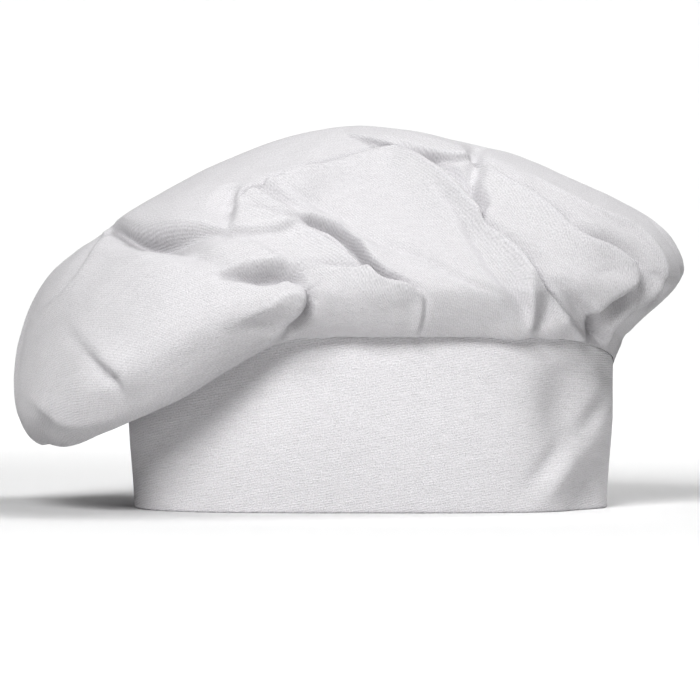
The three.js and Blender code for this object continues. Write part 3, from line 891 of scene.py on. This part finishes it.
@dataclass(frozen=True)
class Twill:
    """The weave of cotton twill.

    The scales are of noise over the cloth in metres. The heights are shares of the rib's depth, and
    the tones and the roughness are how far each varies, round its middle.
    """

    wander_scale: float = 140.0
    wander: float = 0.8
    thread_scale: float = 1600.0
    slub_scale: float = 420.0
    slub_stretch: tuple[float, float, float] = (0.22, 1.6, 1.0)
    rib_height: float = 0.32
    thread_height: float = 0.7
    slub_tone: float = 0.10
    rib_tone: float = 0.06
    thread_tone: float = 0.3
    thread_roughness: float = 0.08

    def group(self) -> bpy.types.NodeTree:
        """Builds the weave once, for every cloth finish.

        Returns:
            A shader node group that puts out a colour, a roughness and a height.
        """
        name = "cotton_twill"
        if name in bpy.data.node_groups:
            return bpy.data.node_groups[name]
        group = bpy.data.node_groups.new(name, "ShaderNodeTree")
        make = NodeBuilder(group)
        make.sockets("INPUT", {
            "Place": "Vector", "Colour": "Color", "Rib Pitch": "Float", "Rib Angle": "Float",
            "Slub": "Float", "Roughness": "Float",
        })
        make.sockets("OUTPUT", {"Colour": "Color", "Roughness": "Float", "Height": "Float"})
        given = make.add("NodeGroupInput").outputs

        def grain(
            scale: float, detail: float, stretch: tuple[float, float, float] = (1.0, 1.0, 1.0)
        ) -> bpy.types.NodeSocket:
            """Adds a noise over the cloth, stretched along it, and returns its strength."""
            wires = {0: given["Place"], 1: stretch}
            place = make.add("ShaderNodeVectorMath", wires, operation="MULTIPLY").outputs[0]
            wires = {"Vector": place, "Scale": scale, "Detail": detail}
            return make.add("ShaderNodeTexNoise", wires).outputs["Fac"]

        def about_one(value: bpy.types.NodeSocket, spread: float) -> bpy.types.NodeSocket:
            """Turns a strength from 0 to 1 into a factor round 1."""
            return make.math("MULTIPLY_ADD", value, spread, 1 - spread / 2)

        wires = {"Vector": given["Place"], "Angle": given["Rib Angle"]}
        turned = make.add("ShaderNodeVectorRotate", wires, rotation_type="Z_AXIS").outputs[0]
        across = make.add("ShaderNodeSeparateXYZ", {0: turned}).outputs["X"]
        ribs = make.math("DIVIDE", across, given["Rib Pitch"])
        ribs = make.math("MULTIPLY_ADD", grain(self.wander_scale, 1.0), self.wander, ribs)
        wave = make.math("SINE", make.math("MULTIPLY", ribs, 2 * math.pi))
        rib = make.math("MULTIPLY_ADD", wave, 0.5, 0.5)
        threads = grain(self.thread_scale, 0.0)
        slubs = grain(self.slub_scale, 2.0, self.slub_stretch)
        height = make.math("MULTIPLY", threads, self.thread_height)
        height = make.math("MULTIPLY_ADD", rib, self.rib_height, height)
        height = make.math("MULTIPLY_ADD", slubs, given["Slub"], height)
        tone = about_one(slubs, self.slub_tone)
        tone = make.math("MULTIPLY", tone, about_one(rib, self.rib_tone))
        tone = make.math("MULTIPLY", tone, about_one(threads, self.thread_tone))
        wires = {0: given["Colour"], "Scale": tone}
        shade = make.add("ShaderNodeVectorMath", wires, operation="SCALE").outputs[0]
        rough = make.math("MULTIPLY_ADD", threads, self.thread_roughness, given["Roughness"])
        rough = make.math("SUBTRACT", rough, self.thread_roughness / 2)
        make.add("NodeGroupOutput", {"Colour": shade, "Roughness": rough, "Height": height})
        return group


@dataclass(frozen=True)
class ClothFinish:
    """White cotton, matte, with fine slanting ribs; lengths are metres and the angle degrees."""

    name: str
    colour: tuple[float, float, float]
    rib_angle: float
    rib_pitch: float = 0.00105
    rib_depth: float = 0.00022
    slub: float = 0.5
    roughness: float = 0.9
    sheen: float = 0.15
    sheen_roughness: float = 0.6
    specular: float = 0.25
    weave: Twill = Twill()

    def material(self) -> bpy.types.Material:
        """Builds the finish.

        Returns:
            A material that reads the piece's own UV map.
        """
        material = bpy.data.materials.new(self.name)
        material.use_nodes = True
        make = NodeBuilder(material.node_tree)
        shader = material.node_tree.nodes["Principled BSDF"]
        shader.inputs["Sheen Weight"].default_value = self.sheen
        shader.inputs["Sheen Roughness"].default_value = self.sheen_roughness
        shader.inputs["Specular IOR Level"].default_value = self.specular
        place = make.add("ShaderNodeUVMap", uv_map=CLOTH_MAP).outputs["UV"]
        wires = {
            "Place": place, "Colour": (*self.colour, 1.0), "Rib Pitch": self.rib_pitch,
            "Rib Angle": math.radians(self.rib_angle), "Slub": self.slub, "Roughness": self.roughness,
        }
        weave = make.add("ShaderNodeGroup", wires, node_tree=self.weave.group()).outputs
        wires = {"Strength": 1.0, "Distance": self.rib_depth, "Height": weave["Height"]}
        bump = make.add("ShaderNodeBump", wires).outputs["Normal"]
        make.tree.links.new(weave["Colour"], shader.inputs["Base Color"])
        make.tree.links.new(weave["Roughness"], shader.inputs["Roughness"])
        make.tree.links.new(bump, shader.inputs["Normal"])
        return material


@dataclass(frozen=True)
class FlatCut:
    """The flat piece of cloth that a part is made from, in metres."""

    width: float
    length: float
    area: float
    held: str


@dataclass
class ClothPiece:
    """A piece of cloth that stands for one CAD node."""

    node: str
    centre: np.ndarray
    finish: ClothFinish
    cut: FlatCut
    rests_on: str

    def dress(self, piece: bpy.types.Object) -> None:
        """Puts the piece in the place of its CAD node: hangs it on the root body and hides the node.

        Args:
            piece: the piece.
        """
        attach(piece, "root")
        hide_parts(self.node)


@dataclass
class Crown(ClothPiece):
    """The crown as one closed shell, whose inside is coarser than its outside."""

    form: CrownForm
    layer: FoldLayer

    def flat_pattern(self, grid: np.ndarray) -> np.ndarray:
        """Lays the cloth out flat, as the round piece that it is cut from.

        Args:
            grid: the plain cloth, columns by rows by 3.

        Returns:
            Each point's place on the flat cloth, in metres.
        """
        steps = np.linalg.norm(np.diff(grid, axis=1), axis=2)
        to_pole = np.cumsum(steps[:, ::-1], 1)[:, ::-1]
        from_pole = np.concatenate([to_pole, np.zeros((len(grid), 1))], 1)
        angle = np.radians(self.form.headings())[:, None]
        return np.stack([from_pole * np.cos(angle), from_pole * np.sin(angle)], -1) * MM

    def thinned(self, grid: np.ndarray) -> np.ndarray:
        """Keeps only the columns and rows that the inside has, down to the pole.

        Args:
            grid: values on the outside, columns by rows by any number.

        Returns:
            The values that the inside keeps.
        """
        step, last = self.form.inner_step, grid.shape[1] - 1
        return grid[::step, [*range(0, last, step), last]]

    def inside(self, outer: np.ndarray) -> np.ndarray:
        """Sets the inside in from the outside by the wall, which thins to the seam.

        Args:
            outer: the folded cloth, columns by rows by 3.

        Returns:
            The inside, in the thinned layout.
        """
        kept = self.thinned(outer)
        thin, thick = self.form.seam_wall, self.form.wall
        wall = thin + (thick - thin) * smooth(np.arange(kept.shape[1]) / self.form.seam_wall_rows)
        inner = kept - self.thinned(grid_normals(outer)) * wall[None, :, None]
        inner[:, 0, 2] = np.maximum(inner[:, 0, 2], kept[:, 0, 2])
        return inner

    def listed(self, outer: np.ndarray, inner: np.ndarray) -> np.ndarray:
        """Lists the outside's values, then the inside's, then both poles'.

        Args:
            outer: values on the outside, columns by rows by any number.
            inner: values on the inside, in the thinned layout.

        Returns:
            A row for each vertex of the shell.
        """
        skins = [skin[:, :-1].reshape(-1, skin.shape[-1]) for skin in (outer, inner)]
        return np.concatenate([*skins, outer[:1, -1], inner[:1, -1]])

    def shell_faces(self, outer: np.ndarray, inner: np.ndarray) -> list[tuple[int, ...]]:
        """Faces of the outside, of the inside and of the seam edge that joins them.

        Args:
            outer: the outside.
            inner: the inside.

        Returns:
            Corners of each face, in the order that the vertices are listed.
        """
        step = self.form.inner_step
        columns, outer_rows = outer.shape[0], outer.shape[1] - 1
        inner_columns, inner_rows = inner.shape[0], inner.shape[1] - 1
        start = columns * outer_rows
        pole = start + inner_columns * inner_rows
        faces = grid_faces(columns, outer_rows, 0, pole)
        faces += [face[::-1] for face in grid_faces(inner_columns, inner_rows, start, pole + 1)]
        for c in range(inner_columns):
            edge = [(c * step + k) % columns * outer_rows for k in range(step, -1, -1)]
            after = (c + 1) % inner_columns
            faces.append((start + c * inner_rows, start + after * inner_rows, *edge))
        return faces

    def build(self) -> bpy.types.Object:
        """Builds the crown's mesh and dresses it.

        Returns:
            The crown.
        """
        plain = self.form.plain()
        outer = self.layer.lay(plain)
        inner = self.inside(outer)
        vertices = self.listed(outer, inner) * MM + self.centre
        piece = new_object("crown_cloth", vertices, self.shell_faces(outer, inner))
        pattern = self.flat_pattern(plain)
        map_cloth(piece, self.listed(pattern, self.thinned(pattern)))
        piece.data.materials.append(self.finish.material())
        self.dress(piece)
        return piece


def soft_dent_group() -> bpy.types.NodeTree:
    """How far one soft hollow sets a place on the band in.

    Returns:
        A geometry node group.
    """
    group = bpy.data.node_groups.new("soft_dent", "GeometryNodeTree")
    make = NodeBuilder(group)
    names = ("Heading", "Height", "At Heading", "At Height", "Depth", "Spread", "Tall", "Slant")
    make.sockets("INPUT", dict.fromkeys(names, "Float"))
    make.sockets("OUTPUT", {"Inset": "Float"})
    given = make.add("NodeGroupInput").outputs
    up = make.math("DIVIDE", make.math("SUBTRACT", given["Height"], given["At Height"]), given["Tall"])
    across = make.math("SUBTRACT", given["Heading"], given["At Heading"])
    across = make.math("SUBTRACT", across, make.math("MULTIPLY", up, given["Slant"]))
    across = make.math("DIVIDE", across, given["Spread"])
    away = make.math("MULTIPLY_ADD", across, across, make.math("MULTIPLY", up, up))
    share = make.math("EXPONENT", make.math("MULTIPLY", away, -1.0))
    make.add("NodeGroupOutput", {"Inset": make.math("MULTIPLY", share, given["Depth"])})
    return group


def band_ring_group() -> bpy.types.NodeTree:
    """Bends a straight strip, whose x is its heading in radians, round into the band.

    Returns:
        A geometry node group.
    """
    group = bpy.data.node_groups.new("band_ring", "GeometryNodeTree")
    make = NodeBuilder(group)
    numbers = (
        "Half Width", "Half Depth", "Squareness", "Height", "Foot Inset", "Foot Height",
        "Dip Heading", "Dip Half Span", "Dip Depth", "Dent Margin",
    )
    make.sockets("INPUT", {"Strip": "Geometry", **dict.fromkeys(numbers, "Float")})
    make.sockets("INPUT", {"Centre": "Vector", "Material": "Material"})
    make.sockets("OUTPUT", {"Ring": "Geometry"})
    given = make.add("NodeGroupInput").outputs
    flat = make.add("GeometryNodeInputPosition").outputs[0]
    heading, depth, level = make.add("ShaderNodeSeparateXYZ", {0: flat}).outputs
    cosine, sine = make.math("COSINE", heading), make.math("SINE", heading)
    outline = 0.0
    for part, half in ((cosine, "Half Width"), (sine, "Half Depth")):
        share = make.math("ABSOLUTE", make.math("DIVIDE", part, given[half]))
        outline = make.math("ADD", make.math("POWER", share, given["Squareness"]), outline)
    outline = make.math("POWER", outline, make.math("DIVIDE", -1.0, given["Squareness"]))
    away = make.math("ABSOLUTE", make.math("SUBTRACT", heading, given["Dip Heading"]))
    dip = make.eased(away, given["Dip Half Span"], given["Dip Depth"], 0.0)
    top = make.math("SUBTRACT", given["Height"], dip)
    height = make.math("MULTIPLY", level, make.math("DIVIDE", top, given["Height"]))
    inset = make.eased(height, given["Foot Height"], given["Foot Inset"], 0.0)
    room = make.eased(make.math("SUBTRACT", top, height), given["Dent Margin"], 0.0, 1.0)
    soft_dent = soft_dent_group()
    for dent in DENTS:
        wires = {
            "Heading": heading, "Height": height,
            "At Heading": math.radians(turn(0.0, dent.heading)), "At Height": dent.height * MM,
            "Depth": dent.depth * MM, "Spread": math.radians(dent.spread),
            "Tall": dent.tall * MM, "Slant": math.radians(dent.slant),
        }
        node = make.add("GeometryNodeGroup", wires, node_tree=soft_dent)
        inset = make.math("MULTIPLY_ADD", node.outputs["Inset"], room, inset)
    radius = make.math("SUBTRACT", make.math("SUBTRACT", outline, inset), depth)
    across, deep = make.math("MULTIPLY", cosine, radius), make.math("MULTIPLY", sine, radius)
    place = make.add("ShaderNodeCombineXYZ", {0: across, 1: deep, 2: height}).outputs[0]
    wires = {0: place, 1: given["Centre"]}
    place = make.add("ShaderNodeVectorMath", wires, operation="ADD").outputs[0]
    bent = make.add("GeometryNodeSetPosition", {"Geometry": given["Strip"], "Position": place})
    wires = {"Geometry": bent.outputs[0], "Distance": MERGE_DISTANCE}
    closed = make.add("GeometryNodeMergeByDistance", wires)
    real = make.add("GeometryNodeRealizeInstances", {"Geometry": closed.outputs[0]})
    wires = {"Geometry": real.outputs[0], "Material": given["Material"]}
    make.add("NodeGroupOutput", {"Ring": make.add("GeometryNodeSetMaterial", wires).outputs[0]})
    return group


def grown(piece: bpy.types.Object, tree: bpy.types.NodeTree, values: dict[str, object]) -> None:
    """Turns a piece into the plain mesh that a geometry node tree makes of it.

    Args:
        piece: the piece.
        tree: the tree.
        values: a value for each of the tree's named inputs.
    """
    modifier = piece.modifiers.new(tree.name, "NODES")
    modifier.node_group = tree
    for item in tree.interface.items_tree:
        if item.name in values:
            modifier[item.identifier] = values[item.name]
    view = bpy.context.evaluated_depsgraph_get()
    mesh = bpy.data.meshes.new_from_object(piece.evaluated_get(view))
    piece.modifiers.remove(modifier)
    piece.data = mesh


@dataclass
class Band(ClothPiece):
    """The band as one closed ring of cloth, folded double at its foot."""

    form: BandForm
    columns: int = 480
    rows: int = 60
    arc_steps: int = 8
    join_heading: float = 90.0
    dent_margin: float = 12.0

    def profile(self) -> np.ndarray:
        """Draws the strip's cross-section, rounded at its top and foot.

        Returns:
            Depths behind the outside and heights, going up the outside first.
        """
        half = self.form.wall / 2
        top = self.form.height - half
        levels = np.linspace(half, top, self.rows)
        arc = np.linspace(0, math.pi, self.arc_steps + 1)[1:-1]
        outside = [(0.0, level) for level in levels]
        over = [(half * (1 - math.cos(a)), top + half * math.sin(a)) for a in arc]
        inside = [(2 * half, level) for level in levels[::-1]]
        under = [(half * (1 + math.cos(a)), half - half * math.sin(a)) for a in arc]
        return np.array(outside + over + inside + under)

    def build(self) -> bpy.types.Object:
        """Builds the band as a straight strip that is bent round and closed, and dresses it.

        Its flat cloth is its length round and its height.

        Returns:
            The band.
        """
        heading = self.join_heading - 360.0 + 360.0 * np.arange(self.columns + 1) / self.columns
        profile = self.profile()
        count = len(profile)
        strip = np.empty((self.columns + 1, count, 3))
        strip[..., 0] = np.radians(heading)[:, None]
        strip[..., 1:] = profile * MM
        faces = []
        for p in range(0, self.columns * count, count):
            q = p + count
            faces += [(p + r, q + r, q + (r + 1) % count, p + (r + 1) % count) for r in range(count)]
        piece = new_object("band_cloth", strip.reshape(-1, 3), faces)
        angle = np.radians(heading)
        outline = np.stack([np.cos(angle), np.sin(angle)], -1) * self.form.radius(heading)[:, None]
        steps = np.linalg.norm(np.diff(outline, axis=0), axis=1)
        around = np.concatenate([[0.0], np.cumsum(steps)]) * MM
        up = profile[:, 1] * MM
        map_cloth(piece, np.stack([np.repeat(around, count), np.tile(up, len(around))], -1))
        form = self.form
        grown(piece, band_ring_group(), {
            "Half Width": form.half_width * MM, "Half Depth": form.half_depth * MM,
            "Squareness": form.squareness, "Height": form.height * MM,
            "Foot Inset": form.foot_inset * MM, "Foot Height": form.height * form.foot_share * MM,
            "Dip Heading": math.radians(form.dip_heading), "Dip Depth": form.dip_depth * MM,
            "Dip Half Span": math.radians(form.dip_half_span), "Dent Margin": self.dent_margin * MM,
            "Centre": tuple(float(v) for v in self.centre),
            "Material": self.finish.material(),
        })
        self.dress(piece)
        return piece


@dataclass(frozen=True)
class Softbox:
    """A square soft light that faces a point; lengths are metres and power is watts."""

    name: str
    place: tuple[float, float, float]
    size: float
    power: float
    aim: tuple[float, float, float] = (0.0, 0.0, 0.08)

    def hang(self) -> None:
        """Adds the light to the scene."""
        lamp = bpy.data.lights.new(self.name, "AREA")
        lamp.shape = "SQUARE"
        lamp.size = self.size
        lamp.energy = self.power
        stand = bpy.data.objects.new(self.name, lamp)
        stand.location = self.place
        facing = Vector(self.aim) - Vector(self.place)
        stand.rotation_euler = facing.to_track_quat("-Z", "Y").to_euler()
        bpy.context.scene.collection.objects.link(stand)


SOFTBOXES: tuple[Softbox, ...] = (
    Softbox("key", place=(-0.4, -1.25, 1.0), size=0.7, power=20.5),
    Softbox("top", place=(0.6, -0.45, 1.4), size=0.6, power=4.0),
    Softbox("rim_right", place=(0.85, 0.25, 1.55), size=0.8, power=13.5),
    Softbox("rim_left", place=(-1.3, -0.15, 1.2), size=0.8, power=3.375),
    Softbox("wall_left", place=(-1.2, 0.9, 1.4), size=1.0, power=30.0, aim=(-0.6, 3.0, 0.6)),
    Softbox("wall_right", place=(1.2, 0.9, 1.4), size=1.0, power=30.0, aim=(0.6, 3.0, 0.6)),
)


@dataclass
class Studio:
    """A plain pale floor that turns up into a backdrop, soft lights, and the camera, in metres."""

    centre: np.ndarray
    eye: Eye
    width: float = 8.0
    front: float = -3.0
    back: float = 3.0
    tall: float = 4.0
    bend: float = 1.2
    bend_steps: int = 12
    paper: tuple[float, float, float, float] = (0.83, 0.83, 0.83, 1.0)
    paper_roughness: float = 0.9
    sky: float = 0.035
    contrast: float = 0.67
    clip: tuple[float, float] = (0.05, 50.0)

    def floor(self) -> None:
        """Lays the floor and its backdrop as one sheet."""
        profile = [(self.front, 0.0), (self.back - self.bend, 0.0)]
        for i in range(1, self.bend_steps + 1):
            a = math.pi / 2 * i / self.bend_steps
            deep = self.back - self.bend + self.bend * math.sin(a)
            profile.append((deep, self.bend - self.bend * math.cos(a)))
        profile.append((self.back, self.tall))
        vertices = [(x, y, z) for y, z in profile for x in (-self.width / 2, self.width / 2)]
        faces = [(2 * i, 2 * i + 1, 2 * i + 3, 2 * i + 2) for i in range(len(profile) - 1)]
        floor = new_object("studio_floor", np.array(vertices), faces)
        material = bpy.data.materials.new("studio_paper")
        material.use_nodes = True
        shader = material.node_tree.nodes["Principled BSDF"]
        shader.inputs["Base Color"].default_value = self.paper
        shader.inputs["Roughness"].default_value = self.paper_roughness
        floor.data.materials.append(material)
        floor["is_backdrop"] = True

    def camera(self) -> None:
        """Sets the camera at the charts' eye, looking at the middle of the picture."""
        lens = bpy.data.cameras.new("camera")
        lens.sensor_width = SENSOR_WIDTH
        lens.lens = SENSOR_WIDTH * EYE_DISTANCE / (IMAGE_WIDTH * CHART_SCALE)
        lens.clip_start, lens.clip_end = self.clip
        camera = bpy.data.objects.new("camera", lens)
        across = (IMAGE_WIDTH / 2 - CHART_CENTRE_PX) * CHART_SCALE
        up = (FOOT_PX - IMAGE_WIDTH / 2) * CHART_SCALE
        eye = self.eye.position * MM + self.centre
        target = self.eye.place(across, up) * MM + self.centre
        camera.location = eye
        camera.rotation_euler = Vector(target - eye).to_track_quat("-Z", "Y").to_euler()
        bpy.context.scene.collection.objects.link(camera)
        bpy.context.scene.camera = camera

    def build(self) -> None:
        """Sets up the floor, lights, sky and camera."""
        self.floor()
        for softbox in SOFTBOXES:
            softbox.hang()
        world = bpy.data.worlds.new("sky")
        world.use_nodes = True
        sky = world.node_tree.nodes["Background"].inputs
        sky["Color"].default_value = (1, 1, 1, 1)
        sky["Strength"].default_value = self.sky
        scene = bpy.context.scene
        scene.world = world
        scene.view_settings.view_transform = "Standard"
        scene.view_settings.gamma = self.contrast
        self.camera()


BAND_FINISH = ClothFinish("band_twill", colour=(0.768, 0.759, 0.773), rib_angle=80.0)
# The crown's colour is darker than the band's although both are the same white cotton twill: painted
# shade that evens out the stronger light falling on the crown's upturned cloth.
CROWN_TWILL_WITH_PAINTED_SHADE = ClothFinish("crown_twill_painted_shade", colour=(0.672, 0.664, 0.677), rib_angle=135.0)

BAND_LENGTH, BAND_HEIGHT = 0.565, 0.075
BAND_CUT = FlatCut(BAND_LENGTH, BAND_HEIGHT, area=BAND_LENGTH * BAND_HEIGHT, held="folded")
ROUND = 0.44  # the width of the crown's round cut
CROWN_CUT = FlatCut(ROUND, ROUND, area=math.pi * (ROUND / 2) ** 2, held="gathered")


def main() -> None:
    """Builds the hat and its studio."""
    logging.basicConfig(level=logging.INFO, format="%(name)s: %(message)s")
    low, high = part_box("band")
    centre = np.array([(low.x + high.x) / 2, (low.y + high.y) / 2, low.z])
    eye = Eye()
    band_form = BandForm()
    crown_form = CrownForm(band_form)
    layer = FoldLayer(crown_form, eye, BackPleats())
    band = Band("band", centre, BAND_FINISH, BAND_CUT, "studio_floor", band_form)
    crown = Crown("crown", centre, CROWN_TWILL_WITH_PAINTED_SHADE, CROWN_CUT, "band_cloth", crown_form, layer)
    for part in (band, crown):
        piece = part.build()
        log.info("%s: %d faces", part.node, len(piece.data.polygons))
    Studio(centre, eye).build()
    low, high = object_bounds()


if __name__ == "__main__":
    main()
